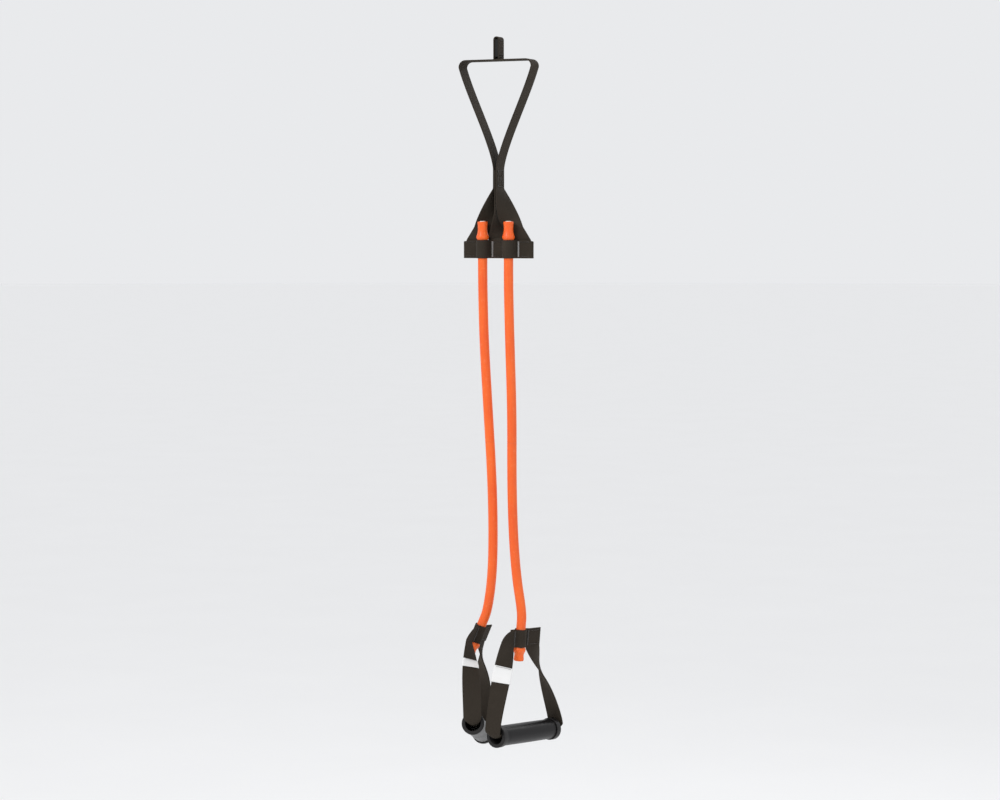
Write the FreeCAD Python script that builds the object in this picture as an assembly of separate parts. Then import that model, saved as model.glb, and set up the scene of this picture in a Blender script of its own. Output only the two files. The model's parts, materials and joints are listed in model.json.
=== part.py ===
"""Two-tube resistance band with a hook loop, an anchor bar and two D-shaped handles.

Row frame, in millimetres: the origin is the middle of the hook loop's inner top, X runs along
the anchor bar, Y goes away from the front and Z is up. The band hangs from its loop.
"""
import FreeCAD
import Part
import math
import os
from FreeCAD import Vector as V

# Webbing
WEB_WIDTH = 25.0
WEB_THICK = 1.8
SOFT_GAP = 0.3          # clearance between soft pieces, and round anything they hold

# Anchor strap: a loop, a sewn neck, two strands that flare to the bar
LOOP_SPAN = 110.0       # width of the loop's top, outside
LOOP_DROP = 146.0       # inner top of the loop to the neck
LOOP_CORNER = 9.0       # radius of the bend over each hook
NECK_LENGTH = 27.0
FACE_ON = 18.0          # height over which a side strand stays face-on above the bar
CENTRE_TURN = 45.0      # height over which the centre strand turns its quarter
FLARE_STEPS = 8         # sections in a strand's turn
FLARE_DROP = 70.0       # bottom of the neck to the top of the bar
BAR_LENGTH = 105.0
BUTT_GAP = 0.6          # between the cut ends of the bar's wrap
TUNNEL_FOOT = 2.6       # from a tunnel's side to where the webbing lies flat

# Stop tab on the loop's top
TAB_WIDTH = 17.0
TAB_HEIGHT = 31.0
TAB_FOLD = 5.0          # thickness of the folded tab's core

# Tubes
TUBE_OD = 13.0
TUBE_ID = 6.5
TUBE_SPACING = 39.0
TUBE_FORWARD = 9.9      # middle of a tube in front of the strands
BULGE_OD = 17.5         # where the plug's bulb spreads the tube
WAIST_OD = 12.8
RIM_OD = 14.2           # round the plug's head at the tube's end
TOP_STUB = 25.0         # tube above the bar
BOTTOM_STUB = 19.0      # tube below a handle's yoke
PLUG_GAP = 0.3
PLUG_PROUD = 0.8        # plug's head past the tube's end
TUBE_APPROACH = 20.0    # straight run into a yoke
TUBE_STANDOFF = 3.0     # swept tube ends this far above a yoke and below the bar's top

# Handles
FRONT_TAIL = 34.5       # middle of the yoke to the cut end of the near layer
BACK_TAIL = 17.0        # and to that of the layer behind it
FOLD_RADIUS = 1.0       # inner radius where webbing turns in its own plane at a yoke's shoulder
SHOULDER_END = 14.0     # degrees from flat at which a shoulder's turn ends
YOKE_TO_GRIP = 133.0    # middle of the yoke to the grip's axis
GRIP_LENGTH = 131.0
GRIP_OD = 28.0
GRIP_BORE = 21.0
COLLAR_WALL = 1.5       # of the collar round the grip
COLLAR_OD = GRIP_OD + 2 * COLLAR_WALL
COLLAR_LENGTH = 9.0
COLLAR_LIP = 2.0        # thickness of the collar in front of the grip's end
COLLAR_GAP = 0.05       # collar on grip
CUPPED_WIDTH = 18.6     # chord of the webbing where it cups inside the bore
MOUTH_BEND = 6.5        # radius of the webbing's bend into the grip
STRAND_STEPS = 12       # sections in a strand between yoke and grip
STRAND_START = 85.0     # how strongly a strand keeps its direction where it leaves the yoke
STRAND_FINISH = 48.0    # and where it meets the grip
STRAND_EARLY = 0.6      # below 1, a strand makes most of its quarter turn near the yoke
LABEL_FIRST = 3         # sections of the near strand between which the label lies
LABEL_LAST = 5
LABEL_THICK = 0.5

# Stitching
THREAD_THICK = 0.5
TACK_WIDTH = 2.4
STITCH_GAP = 0.02       # thread above the webbing that it lies on

X, Y, Z = V(1, 0, 0), V(0, 1, 0), V(0, 0, 1)
WEB_OFFSET = WEB_THICK + SOFT_GAP
NECK_TOP = -LOOP_DROP
NECK_BOTTOM = NECK_TOP - NECK_LENGTH
BAR_TOP = NECK_BOTTOM - FLARE_DROP
BAR_BOTTOM = BAR_TOP - WEB_WIDTH
BAR_MIDDLE = (BAR_TOP + BAR_BOTTOM) / 2
TACK_BESIDE = TUBE_OD / 2 + SOFT_GAP + WEB_THICK / 2 + TUNNEL_FOOT + TACK_WIDTH / 2 + 0.2

# Routes of the two hanging tubes, from the bar's lower edge to the middle of the yoke.
# Each is a list of X, Y and Z; the first point and the last are worked out.
TUBE_ROUTES = {
    "left": [(-19.3, -9.6, -315.0), (-17.4, -9.4, -385.0), (-11.5, -8.8, -480.0),
             (-6.0, -8.4, -570.0), (-4.4, -7.8, -645.0), (-6.6, -6.4, -705.0)],
    "right": [(19.8, -10.2, -315.0), (22.2, -10.8, -390.0), (25.4, -11.0, -480.0),
              (24.8, -10.4, -570.0), (26.6, -9.6, -645.0), (31.4, -9.2, -705.0)],
}

# Where each handle hangs: yoke middle, the yaw of the grip's near end from +X, the yaw of the
# yoke from the grip, the grip's tilt (near end up), the grip's shift along its axis, and the
# tube's lean across the yoke. Angles in degrees.
HANDLES = {
    "left": {"yoke": V(-27.0, -9.0, -786.0), "yaw": -71.0, "twist": -18.0, "tilt": 17.0,
             "shift": 0.0, "lean": 22.0},
    "right": {"yoke": V(37.0, -9.0, -788.0), "yaw": -101.0, "twist": -14.0, "tilt": 4.5,
              "shift": -10.0, "lean": 5.0},
}


def unit(v):
    """The vector at length one."""
    return v * (1.0 / v.Length)


def turn(v, axis, degrees):
    """The vector turned about an axis through the origin."""
    return FreeCAD.Rotation(axis, degrees).multVec(v)


def mirrored(v):
    """The vector mirrored in the plane X = 0."""
    return V(-v.x, v.y, v.z)


class Station:
    """One cross-section of webbing: its middle, its width direction, its face direction."""

    def __init__(self, at, across, face, width=WEB_WIDTH, thick=WEB_THICK):
        self.at = at
        self.across = unit(across)
        self.face = unit(face)
        self.width = width
        self.thick = thick

    def moved(self, place):
        """The same section after a placement."""
        spin = place.Rotation
        return Station(place.multVec(self.at), spin.multVec(self.across),
                       spin.multVec(self.face), self.width, self.thick)

    def wire(self, grow=0.0):
        """The section's outline, grown all round."""
        a = self.across * (self.width / 2 + grow)
        n = self.face * (self.thick / 2 + grow)
        corners = [self.at - a - n, self.at + a - n, self.at + a + n, self.at - a + n]
        return Part.makePolygon(corners + [corners[0]])


def ribbon(stations, grow=0.0):
    """A strap: a straight-ruled skin through its cross-sections."""
    solid = Part.makeLoft([s.wire(grow) for s in stations], True, True)
    if solid.Volume < 0:
        solid.reverse()
    return solid


def bridge(first, last, steps, reach_first, reach_last, early=1.0):
    """Stations between two sections along a cubic curve, the width turning evenly.

    reach_first and reach_last are the curve's end tangents, pointing along the strap. An early
    below 1 brings the turn of the width nearer to the first section.
    """
    found = []
    for i in range(1, steps):
        t = i / steps
        h00, h10 = 2 * t**3 - 3 * t**2 + 1, t**3 - 2 * t**2 + t
        h01, h11 = 3 * t**2 - 2 * t**3, t**3 - t**2
        at = first.at * h00 + reach_first * h10 + last.at * h01 + reach_last * h11
        d00, d10 = 6 * t**2 - 6 * t, 3 * t**2 - 4 * t + 1
        along = (first.at * d00 + reach_first * d10 + last.at * (-d00)
                 + reach_last * (3 * t**2 - 2 * t))
        along = unit(along)
        turned = t ** early
        ease = turned * turned * (3 - 2 * turned)
        across = first.across * (1 - ease) + last.across * ease
        across = unit(across - along * across.dot(along))
        face = along.cross(across)
        if face.dot(first.face * (1 - t) + last.face * t) < 0:
            face = face * -1
        found.append(Station(at, across, face))
    return found


def tunnel_profile(flat, depth):
    """Half of the webbing's path round a tube: distance along the strap, height of its middle.

    depth is how far the tube's middle lies from the plane that heights are measured from.
    """
    step = 22.5 if depth > flat else 14.5
    reach = (TUBE_OD / 2 + SOFT_GAP + 0.05) / math.cos(math.radians(step / 2)) + WEB_THICK / 2
    turns = [math.radians(step * i) for i in range(5)]
    points = [(reach * math.sin(a), depth + reach * math.cos(a)) for a in turns]
    points.append((reach + 0.9, flat + 0.16 * (points[-1][1] - flat)))
    points.append((reach + TUNNEL_FOOT, flat))
    return points


def layer_path(half, tunnels):
    """The bar's front layer from -half to half: X and the distance in front of the strands."""
    marks = [(-half, WEB_OFFSET), (half, WEB_OFFSET)]
    for middle in tunnels:
        for along, height in tunnel_profile(WEB_OFFSET, TUBE_FORWARD):
            marks.append((middle + along, height))
            if along > 0:
                marks.append((middle - along, height))
    return sorted(marks)


def layer(start, stop, flat):
    """Stations of a yoke's layer along +X, raised over the tunnel: face towards +Y."""
    marks = [(start, flat), (stop, flat)]
    for along, height in tunnel_profile(flat, 0.0)[:-1]:
        marks.append((along, height))
        if along > 0:
            marks.append((-along, height))
    marks.append((-TUBE_OD / 2 - SOFT_GAP - WEB_THICK / 2 - TUNNEL_FOOT, flat))
    return [Station(V(x, height, 0), Z, Y) for x, height in sorted(marks)]


def fan(pivot, begin, end, steps):
    """Stations that turn in the webbing's own plane round a pivot; angles from +X, in degrees."""
    found = []
    for i in range(steps + 1):
        a = math.radians(begin + (end - begin) * i / steps)
        out = V(math.cos(a), 0, math.sin(a))
        found.append(Station(pivot + out * (FOLD_RADIUS + WEB_WIDTH / 2), out, Y))
    return found


# ---------------------------------------------------------------- anchor strap

def flare(side):
    """A side strand as level sections, from its cut end in the bar up to the neck.

    Its outer edge is straight. It stays face-on beside the tube's end and turns a quarter above it,
    the right strand's inner edge and the left strand's outer edge coming to the front.
    """
    outer_low = BAR_LENGTH / 2 - WEB_THICK - WEB_OFFSET
    slope = (outer_low - WEB_OFFSET) / FLARE_DROP
    half_low = WEB_WIDTH / 2 * math.hypot(1, slope)
    inner_turn = outer_low - slope * FACE_ON - 2 * half_low
    power = slope * (FLARE_DROP - FACE_ON) / (inner_turn - WEB_OFFSET)
    heights = [FACE_ON * i / 3 for i in range(3)]
    heights += [FACE_ON + (FLARE_DROP - FACE_ON) * i / FLARE_STEPS for i in range(FLARE_STEPS + 1)]
    sections = []
    for height in heights:
        turned = max(0.0, (height - FACE_ON) / (FLARE_DROP - FACE_ON))
        outer = outer_low - slope * height
        half = half_low + (WEB_WIDTH / 2 - half_low) * turned**2
        inner = WEB_OFFSET + (inner_turn - WEB_OFFSET) * (1 - turned)**power
        inner = inner if turned else outer - 2 * half
        cosine = min(1.0, (outer - inner) / (2 * half))
        sine = math.sqrt(1 - cosine**2)
        at = V(side * (outer + inner) / 2, 0, BAR_TOP + height)
        face = V(sine, -cosine, 0) * -side
        sections.append(Station(at, V(-cosine, -sine, 0), face, 2 * half))
    first = sections[0]
    low = Station(V(first.at.x, 0, BAR_BOTTOM + SOFT_GAP), first.across, first.face, first.width)
    return [low] + sections


def half_loop():
    """From above the neck on the left up to the middle of the loop's top."""
    half = LOOP_SPAN / 2 - WEB_THICK / 2
    top = WEB_THICK / 2
    lean = math.atan2(half - WEB_OFFSET, LOOP_DROP)
    leg_face = V(math.cos(lean), 0, math.sin(lean))
    middle = V(-half + LOOP_CORNER, 0, top - LOOP_CORNER)
    loop = [Station(V(-WEB_OFFSET, 0, NECK_TOP), Y * -1, X),
            Station(V(-half / 2, 0, NECK_TOP / 2), Y * -1, leg_face)]
    for i in range(6):
        a = math.pi - (math.pi / 2) * i / 5
        out = V(math.cos(a), 0, math.sin(a))
        loop.append(Station(middle + out * LOOP_CORNER, Y * -1, out * -1))
    loop.append(Station(V(0, 0, top), Y * -1, Z * -1))
    return loop


def anchor_strap():
    """The whole strap, from the left strand over the loop to the right strand."""
    left = half_loop()
    right = [Station(mirrored(s.at), mirrored(s.across), mirrored(s.face)) for s in left[:-1]]
    right = flare(1) + right
    right.reverse()
    return ribbon(flare(-1) + left + right)


def centre_strap():
    """The middle strand: sewn between the loop's legs in the neck and inside the bar's wrap.

    It has turned its quarter before the side strands close in on it.
    """
    sections = [Station(V(0, 0, BAR_BOTTOM + SOFT_GAP), X, Y * -1)]
    for i in range(FLARE_STEPS + 1):
        height = CENTRE_TURN * i / FLARE_STEPS
        angle = math.pi / 2 * (1 - (1 - i / FLARE_STEPS)**2)
        across = V(math.cos(angle), math.sin(angle), 0)
        face = V(math.sin(angle), -math.cos(angle), 0)
        sections.append(Station(V(0, 0, BAR_TOP + height), across, face))
    sections.append(Station(V(0, 0, NECK_TOP - 2.0), Y, X))
    return ribbon(sections)


def bar_wrap():
    """One strip round the strands' lower ends: tunnels in front, flat behind, cut ends butted."""
    half = BAR_LENGTH / 2 - WEB_THICK / 2
    front = []
    for x, depth in layer_path(half - WEB_OFFSET, (-TUBE_SPACING / 2, TUBE_SPACING / 2)):
        front.append(V(x, -depth, 0))
    round_right = [V(half - WEB_OFFSET + WEB_OFFSET * math.cos(a), WEB_OFFSET * math.sin(a), 0)
                   for a in (-math.pi / 4, 0, math.pi / 4)]
    round_left = [V(-p.x, -p.y, 0) for p in round_right]
    behind = [V(half - WEB_OFFSET, WEB_OFFSET, 0), V(BUTT_GAP / 2, WEB_OFFSET, 0)]
    behind_left = [V(-BUTT_GAP / 2, WEB_OFFSET, 0), V(-half + WEB_OFFSET, WEB_OFFSET, 0)]
    path = behind_left + round_left + front + round_right + behind
    stations = []
    for i, point in enumerate(path):
        along = path[min(i + 1, len(path) - 1)] - path[max(i - 1, 0)]
        stations.append(Station(point + Z * BAR_MIDDLE, Z, unit(along).cross(Z)))
    return ribbon(stations)


def stitch_block(at, across, up, out, width, height):
    """One bar tack: a low block of thread lying on webbing at a point."""
    corner = at - across * (width / 2) - up * (height / 2) + out * STITCH_GAP
    face = Part.makePolygon([corner, corner + across * width, corner + across * width + up * height,
                             corner + up * height, corner])
    return Part.Face(face).extrude(out * THREAD_THICK)


def neck_stitching():
    """Two box rows of thread on each outer face of the neck."""
    outer = WEB_OFFSET + WEB_THICK / 2
    rows = []
    for side in (-1, 1):
        for z in (NECK_TOP - 4.0, NECK_BOTTOM + 4.0):
            rows.append(stitch_block(V(side * outer, 0, z), Y, Z, X * side, WEB_WIDTH - 5, TACK_WIDTH))
    return Part.makeCompound(rows)


def bar_stitching():
    """Upright tacks on both sides of each tunnel, front and back."""
    outer = WEB_OFFSET + WEB_THICK / 2
    tacks = []
    for face in (-1, 1):
        for tube in (-1, 1):
            for side in (-1, 1):
                x = tube * TUBE_SPACING / 2 + side * TACK_BESIDE
                tacks.append(stitch_block(V(x, face * outer, BAR_MIDDLE), X, Z, Y * face,
                                          TACK_WIDTH, WEB_WIDTH - 4))
    return Part.makeCompound(tacks)


def stop_tab():
    """Webbing folded over a core and sewn upright on the loop's top; cover, core, thread."""
    base = WEB_THICK + STITCH_GAP
    core = Part.makeBox(TAB_FOLD, TAB_WIDTH - 3, TAB_HEIGHT - 2 * WEB_THICK - 4,
                        V(-TAB_FOLD / 2, -(TAB_WIDTH - 3) / 2, base + WEB_THICK + 2))
    wide = TAB_FOLD + 2 * (WEB_THICK + 0.05)
    outer = Part.makeBox(wide, TAB_WIDTH, TAB_HEIGHT, V(-wide / 2, -TAB_WIDTH / 2, base))
    outer = outer.makeFillet(3.0, [e for e in outer.Edges if abs(e.BoundBox.ZMin - base - TAB_HEIGHT) < 0.01
                                   and e.BoundBox.YLength > 1])
    slot = Part.makeBox(TAB_FOLD + 0.1, TAB_WIDTH + 2, TAB_HEIGHT - 2 * WEB_THICK - 3.9,
                        V(-TAB_FOLD / 2 - 0.05, -TAB_WIDTH / 2 - 1, base + WEB_THICK + 1.95))
    cover = outer.cut(slot)
    threads = []
    for side in (-1, 1):
        threads.append(stitch_block(V(side * wide / 2, 0, base + 3.2), Y, Z, X * side,
                                    TAB_WIDTH - 4, TACK_WIDTH))
    return cover, core, Part.makeCompound(threads)


# ---------------------------------------------------------------- tubes

def tube_top(side):
    """Where the tube's axis crosses the bar's upper edge."""
    sign = -1 if side == "left" else 1
    return V(sign * TUBE_SPACING / 2, -TUBE_FORWARD, BAR_TOP)


def tube_points(side):
    """The route's points from inside the bar to just above the yoke."""
    up = tube_up(side)
    last = HANDLES[side]["yoke"] + up * (WEB_WIDTH / 2 + TUBE_STANDOFF)
    first = tube_top(side) - Z * (WEB_WIDTH - TUBE_STANDOFF)
    return [first] + [V(*p) for p in TUBE_ROUTES[side]] + [last + up * TUBE_APPROACH, last]


def tube_up(side):
    """The tube's direction, upwards, where it goes through a handle's yoke."""
    hand = HANDLES[side]
    along = turn(X, Z, hand["yaw"])
    return turn(Z, along, -hand["lean"])


def cord_wire(points, side):
    """Straight runs joined by the largest tangent arcs that the runs allow."""
    edges = []
    start = points[0]
    radii = []
    for i in range(1, len(points) - 1):
        a, b, c = points[i - 1], points[i], points[i + 1]
        into, out = unit(b - a), unit(c - b)
        angle = into.getAngle(out)
        cut = 0.45 * min((b - a).Length, (c - b).Length)
        radii.append(cut / math.tan(angle / 2))
        p, q = b - into * cut, b + out * cut
        bulge = unit(unit(a - b) + unit(c - b))
        radius = radii[-1]
        centre = b + bulge * (radius / math.cos(angle / 2))
        mid = centre - bulge * radius
        edges.append(Part.LineSegment(start, p).toShape())
        edges.append(Part.Arc(p, mid, q).toShape())
        start = q
    edges.append(Part.LineSegment(start, points[-1]).toShape())
    print(side, "tube bend radii, mm:", [round(r) for r in radii])
    return Part.Wire(edges)


def pipe(wire, diameter):
    """A round solid along a wire."""
    start = wire.Edges[0].Vertexes[0].Point
    along = wire.Edges[0].tangentAt(wire.Edges[0].FirstParameter)
    ring = Part.Wire(Part.makeCircle(diameter / 2, start, along))
    return wire.makePipeShell([ring], True, False)


def revolved(base, axis, profile):
    """A solid of revolution: profile pairs are (distance along the axis, radius)."""
    points = [V(0, 0, profile[0][0])] + [V(r, 0, s) for s, r in profile] + [V(0, 0, profile[-1][0])]
    face = Part.Face(Part.makePolygon(points + [points[0]]))
    solid = face.revolve(V(0, 0, 0), Z, 360)
    solid.Placement = FreeCAD.Placement(base, FreeCAD.Rotation(Z, axis))
    return solid


def end_profiles(stub, hold):
    """Outer, inner and plug profiles of a tube's end, from inside its tunnel outwards."""
    r, bulb, waist, rim = TUBE_OD / 2, BULGE_OD / 2, WAIST_OD / 2, RIM_OD / 2
    wall = (TUBE_OD - TUBE_ID) / 2 * 0.8
    bore = TUBE_ID / 2
    outer = [(-hold, r), (0.5, r), (1.3, bulb - 0.5), (2.3, bulb), (5.0, bulb), (9.0, waist + 0.7),
             (stub * 0.52, waist), (stub - 5.0, waist + 0.4), (stub - 1.5, rim), (stub, rim - 0.4)]
    inner = [(-hold + TUBE_STANDOFF, bore), (0.6, bore), (1.8, bulb - wall), (5.0, bulb - wall),
             (9.0, waist + 0.4 - wall), (stub - 5.0, waist + 0.4 - wall), (stub - 1.5, rim - wall),
             (stub + 1, rim - wall)]
    plug = [(1.4, bore - PLUG_GAP)]
    plug += [(s, radius - PLUG_GAP) for s, radius in inner[2:-2]]
    plug[1] = (2.2, plug[1][1])
    plug += [(stub - 1.2, rim - wall - PLUG_GAP), (stub + PLUG_PROUD, rim - wall - PLUG_GAP)]
    return outer, inner, plug


def tube_parts(side):
    """A tube with both plugged ends, and its two plugs. The hanging run has no bore."""
    wire = cord_wire(tube_points(side), side)
    solid = pipe(wire, TUBE_OD)
    print(side, "tube hanging length, mm:", round(wire.Length, 1), "volume against section x length:",
          round(solid.Volume / (math.pi / 4 * TUBE_OD ** 2 * wire.Length), 4))
    up = tube_up(side)
    yoke = HANDLES[side]["yoke"]
    ends = [(tube_top(side), Z, TOP_STUB, WEB_WIDTH - TUBE_STANDOFF),
            (yoke - up * (WEB_WIDTH / 2), up * -1, BOTTOM_STUB, WEB_WIDTH + TUBE_STANDOFF)]
    plugs = []
    for base, out, stub, hold in ends:
        outer, inner, plug = end_profiles(stub, hold)
        solid = solid.fuse(revolved(base, out, outer).cut(revolved(base, out, inner)))
        plugs.append(revolved(base, out, plug))
    return solid, plugs[0], plugs[1]


# ---------------------------------------------------------------- handles

def yoke_place(hand):
    """From the yoke's own frame (layers along X, faces to -Y and +Y) to the row frame."""
    spin = FreeCAD.Rotation(turn(X, Z, hand["yaw"]), -hand["lean"]).multiply(
        FreeCAD.Rotation(Z, hand["yaw"] + hand["twist"]))
    return FreeCAD.Placement(hand["yoke"], spin)


def grip_place(hand):
    """From the grip's own frame (axis along X) to the row frame."""
    yaw = FreeCAD.Rotation(Z, hand["yaw"])
    tilt = FreeCAD.Rotation(Y, -hand["tilt"])
    shift = turn(X, Z, hand["yaw"]) * hand["shift"]
    return FreeCAD.Placement(hand["yoke"] + shift - Z * YOKE_TO_GRIP, yaw.multiply(tilt))


def half_handle_strap(hand, side):
    """One half of a handle's strap, from its cut end on the yoke to the middle of the grip.

    side is 1 for the layer that goes to the near strand and -1 for the other. The two strands
    turn opposite ways between the yoke and the grip.
    """
    flip = FreeCAD.Placement(V(0, 0, 0), FreeCAD.Rotation(Z, 0 if side > 0 else 180))
    yoke = yoke_place(hand).multiply(flip)
    turn_at = TUBE_OD / 2 + SOFT_GAP + WEB_THICK / 2 + TUNNEL_FOOT
    pivot = V(turn_at, WEB_OFFSET / 2, -WEB_WIDTH / 2 - FOLD_RADIUS)
    tail = FRONT_TAIL if side > 0 else BACK_TAIL
    run = layer(-tail, turn_at, WEB_OFFSET / 2) + fan(pivot, 90, SHOULDER_END, 5)[1:]
    top = [s.moved(yoke) for s in run]
    if side < 0:
        top = [Station(s.at, s.across * -1, s.face * -1) for s in top]
    grip = grip_place(hand).multiply(flip)
    end = GRIP_LENGTH / 2 + COLLAR_LIP + 1.0
    bend = []
    for i in range(6):
        a = math.pi / 2 * i / 5
        width = WEB_WIDTH + (CUPPED_WIDTH - WEB_WIDTH) * (i / 5) ** 0.7
        at = V(end + MOUTH_BEND * math.cos(a), 0, MOUTH_BEND * (1 - math.sin(a)))
        bend.append(Station(at, Y * -1, V(math.cos(a), 0, -math.sin(a)), width))
    bend = [s.moved(grip) for s in bend]
    out = top[-1]
    down = unit(bend[0].at - out.at)
    strand = bridge(out, bend[0], STRAND_STEPS, down * STRAND_START, Z * -STRAND_FINISH, STRAND_EARLY)
    middle = Station(V(0, 0, 0), Y * -1, Z * -1, CUPPED_WIDTH).moved(grip)
    return top, strand, bend, middle


def handle_strap(hand):
    """One strap from its near layer on the yoke, through the grip, to its other layer."""
    near = half_handle_strap(hand, 1)
    far = half_handle_strap(hand, -1)
    first = near[0] + near[1] + near[2] + [near[3]]
    second = far[0] + far[1] + far[2]
    second.reverse()
    second = [Station(s.at, s.across * -1, s.face, s.width) for s in second]
    return ribbon(first + second)


def label(hand):
    """A blank woven label folded round the near strand, and the thread that holds it."""
    top, strand, bend, middle = half_handle_strap(hand, 1)
    around = strand[LABEL_FIRST:LABEL_LAST + 1]
    gap = 0.15
    longer = strand[LABEL_FIRST - 1:LABEL_LAST + 2]
    sleeve = ribbon(around, gap + LABEL_THICK).cut(ribbon(longer, gap))
    s = around[0]
    up = unit(s.at - around[1].at)
    at = s.at - up * 3.0
    rows = []
    for face in (-1, 1):
        out = s.face * face
        rows.append(stitch_block(at + out * (WEB_THICK / 2 + gap + LABEL_THICK + 0.6), s.across, up, out,
                                 WEB_WIDTH - 6, 1.0))
    return sleeve, Part.makeCompound(rows)


def yoke_stitching(hand):
    """Upright tacks either side of the tube's tunnel, on both outer faces of the yoke."""
    outer = WEB_OFFSET / 2 + WEB_THICK / 2
    tacks = []
    for face in (-1, 1):
        for side in (-1, 1):
            tacks.append(stitch_block(V(side * TACK_BESIDE, face * outer, 0), X, Z, Y * face,
                                      TACK_WIDTH, WEB_WIDTH - 4))
    group = Part.makeCompound(tacks)
    group.Placement = yoke_place(hand)
    return group


def grip_parts(hand):
    """The grip's tube and its two end collars."""
    half = GRIP_LENGTH / 2
    barrel = Part.makeCylinder(GRIP_OD / 2, GRIP_LENGTH, V(-half, 0, 0), X)
    barrel = barrel.cut(Part.makeCylinder(GRIP_BORE / 2, GRIP_LENGTH, V(-half, 0, 0), X))
    collars = []
    for side in (1, -1):
        mouth = V(side * (half + COLLAR_LIP), 0, 0)
        body = Part.makeCylinder(COLLAR_OD / 2, COLLAR_LENGTH, mouth, X * -side)
        body = body.makeFillet(1.2, [e for e in body.Edges if abs(e.BoundBox.XMin - mouth.x) < 0.01
                                     and abs(e.BoundBox.XMax - mouth.x) < 0.01])
        seat = Part.makeCylinder(GRIP_OD / 2 + COLLAR_GAP, COLLAR_LENGTH, mouth - X * (side * COLLAR_LIP),
                                 X * -side)
        body = body.cut(seat).cut(Part.makeCylinder(GRIP_BORE / 2, COLLAR_LENGTH, mouth, X * -side))
        collars.append(body)
    place = grip_place(hand)
    for shape in [barrel] + collars:
        shape.Placement = place
    return barrel, collars[0], collars[1]


# ---------------------------------------------------------------- the parts

parts = {"anchor_strap": anchor_strap(), "centre_strap": centre_strap(),
         "bar_wrap": bar_wrap(), "neck_stitching": neck_stitching(),
         "bar_stitching": bar_stitching()}
parts["stop_tab_cover"], parts["stop_tab_core"], parts["stop_tab_stitching"] = stop_tab()
for name, hand in HANDLES.items():
    parts[name + "_tube"], parts[name + "_top_plug"], parts[name + "_bottom_plug"] = tube_parts(name)
    parts[name + "_handle_strap"] = handle_strap(hand)
    parts[name + "_yoke_stitching"] = yoke_stitching(hand)
    parts[name + "_label"], parts[name + "_label_stitching"] = label(hand)
    grip, near, far = grip_parts(hand)
    parts[name + "_grip"] = grip
    parts[name + "_near_collar"] = near
    parts[name + "_far_collar"] = far

os.makedirs("parts", exist_ok=True)
for node, shape in parts.items():
    print(node, "valid" if shape.isValid() else "NOT VALID", "solids", len(shape.Solids),
          "volume mm3", round(shape.Volume))
    shape.exportStep("parts/" + node + ".step")
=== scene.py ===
# %% [markdown]
# # A two-tube resistance band
# This notebook dresses a CAD model of the band: every piece is worked out as a surface in the
# frame's own coordinates, in metres, and all but the tubes then ride on the body of the CAD model that they
# belong to.

# %% Load the frame
import json
import math

import bmesh
import bpy
import numpy as np
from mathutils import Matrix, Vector

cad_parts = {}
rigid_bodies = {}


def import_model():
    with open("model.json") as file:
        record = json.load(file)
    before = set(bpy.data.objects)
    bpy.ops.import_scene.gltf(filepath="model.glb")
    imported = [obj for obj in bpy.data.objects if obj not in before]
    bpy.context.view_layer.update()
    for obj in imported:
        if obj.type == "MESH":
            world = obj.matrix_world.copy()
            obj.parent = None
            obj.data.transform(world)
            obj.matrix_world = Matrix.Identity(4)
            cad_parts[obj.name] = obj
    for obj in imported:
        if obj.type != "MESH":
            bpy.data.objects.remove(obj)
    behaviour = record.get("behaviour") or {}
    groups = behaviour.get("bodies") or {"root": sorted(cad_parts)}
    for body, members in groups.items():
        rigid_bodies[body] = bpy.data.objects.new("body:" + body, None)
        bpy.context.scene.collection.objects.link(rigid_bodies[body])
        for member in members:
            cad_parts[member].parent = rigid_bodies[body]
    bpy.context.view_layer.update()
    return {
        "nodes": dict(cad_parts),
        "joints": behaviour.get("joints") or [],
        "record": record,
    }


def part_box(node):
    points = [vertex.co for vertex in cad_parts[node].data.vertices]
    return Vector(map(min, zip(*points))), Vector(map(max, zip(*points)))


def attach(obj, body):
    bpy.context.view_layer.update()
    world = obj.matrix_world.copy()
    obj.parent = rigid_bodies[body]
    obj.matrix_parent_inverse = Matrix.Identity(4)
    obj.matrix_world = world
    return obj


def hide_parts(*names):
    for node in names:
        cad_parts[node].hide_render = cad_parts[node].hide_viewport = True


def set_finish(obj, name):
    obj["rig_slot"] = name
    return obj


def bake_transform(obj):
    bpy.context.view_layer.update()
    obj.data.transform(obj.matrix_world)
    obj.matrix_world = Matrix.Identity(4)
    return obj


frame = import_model()
joints = {j["name"]: j for j in frame["joints"]}

# %% [markdown]
# ## Sizes
# The webbing, the tube and the grips are stock sizes, so they are named once. Heights come from the
# frame's own boxes, and so do the places of the handles, through their joints.

# %% Name the driving sizes
WEB_W, WEB_T, GAP = 0.025, 0.0018, 0.0003
TUBE_R, TUBE_FORWARD, TUBE_SPACING = 0.0065, 0.0099, 0.039
TUNNEL_FOOT = 0.0026
LAYER = WEB_T + GAP
TUNNEL_R = TUBE_R + GAP + WEB_T / 2
BAR_BOTTOM, BAR_TOP = (float(corner[2]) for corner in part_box("bar_wrap"))
BAR_HALF = float(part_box("bar_wrap")[1][0]) - WEB_T / 2
FLARE_DROP, NECK_LENGTH = 0.070, 0.027
NECK_LOW, NECK_HIGH = BAR_TOP + FLARE_DROP, BAR_TOP + FLARE_DROP + NECK_LENGTH
LOOP_HALF = float(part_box("anchor_strap")[1][0]) - WEB_T / 2
TOP_STUB, BOTTOM_STUB = 0.025, 0.019
SIDES = ("left", "right")
TWIST = {"left": -18.0, "right": -14.0}
X, Y, Z = np.eye(3)
print("bar from", round(BAR_BOTTOM, 4), "to", round(BAR_TOP, 4), "loop half width", round(LOOP_HALF, 4))

# %% [markdown]
# ## Camera
# The camera stands a little to the right of the front, level with the anchor bar, and looks
# slightly down at the middle of the band.

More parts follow.
